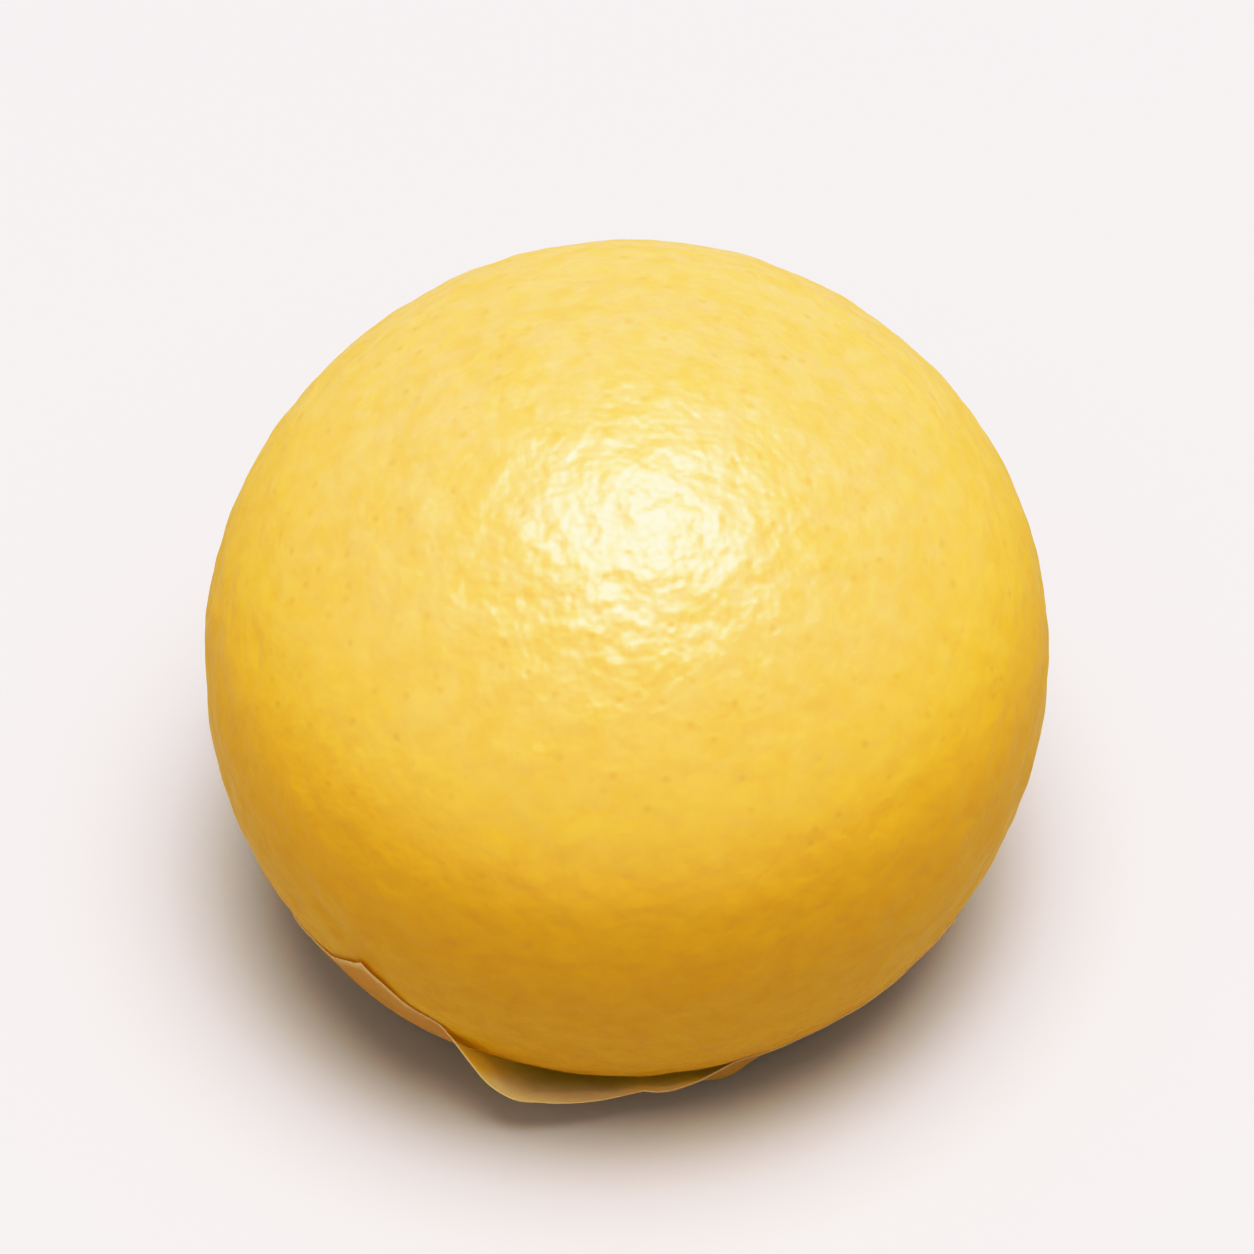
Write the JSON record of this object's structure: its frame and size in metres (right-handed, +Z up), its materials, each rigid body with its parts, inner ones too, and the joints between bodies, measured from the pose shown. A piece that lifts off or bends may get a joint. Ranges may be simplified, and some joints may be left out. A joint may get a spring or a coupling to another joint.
{
  "type": "steamed bun",
  "caption": "Round yellow steamed custard bun with a smooth moist skin, resting on the crinkled square of parchment that it was steamed on.",
  "frame": {"origin": "the centre of the paper's flat underside, on the surface that the bun rests on", "axes": "+Z up through the bun's crown; -Y is the front, which faces the viewer; +X is to the viewer's right"},
  "size_m": [0.0647, 0.0645, 0.057],
  "materials": {
    "dough": "yellow steamed dough with a thin moist skin: satin, softly translucent, with shallow dimples and fine wrinkles",
    "parchment": "thin pinkish-white parchment, matt, softened by steam, yellower and more translucent where the dough rests on it"
  },
  "bodies": {
    "root": {"bun_dough": "dough", "paper_liner": "parchment"}
  },
  "joints": []
}
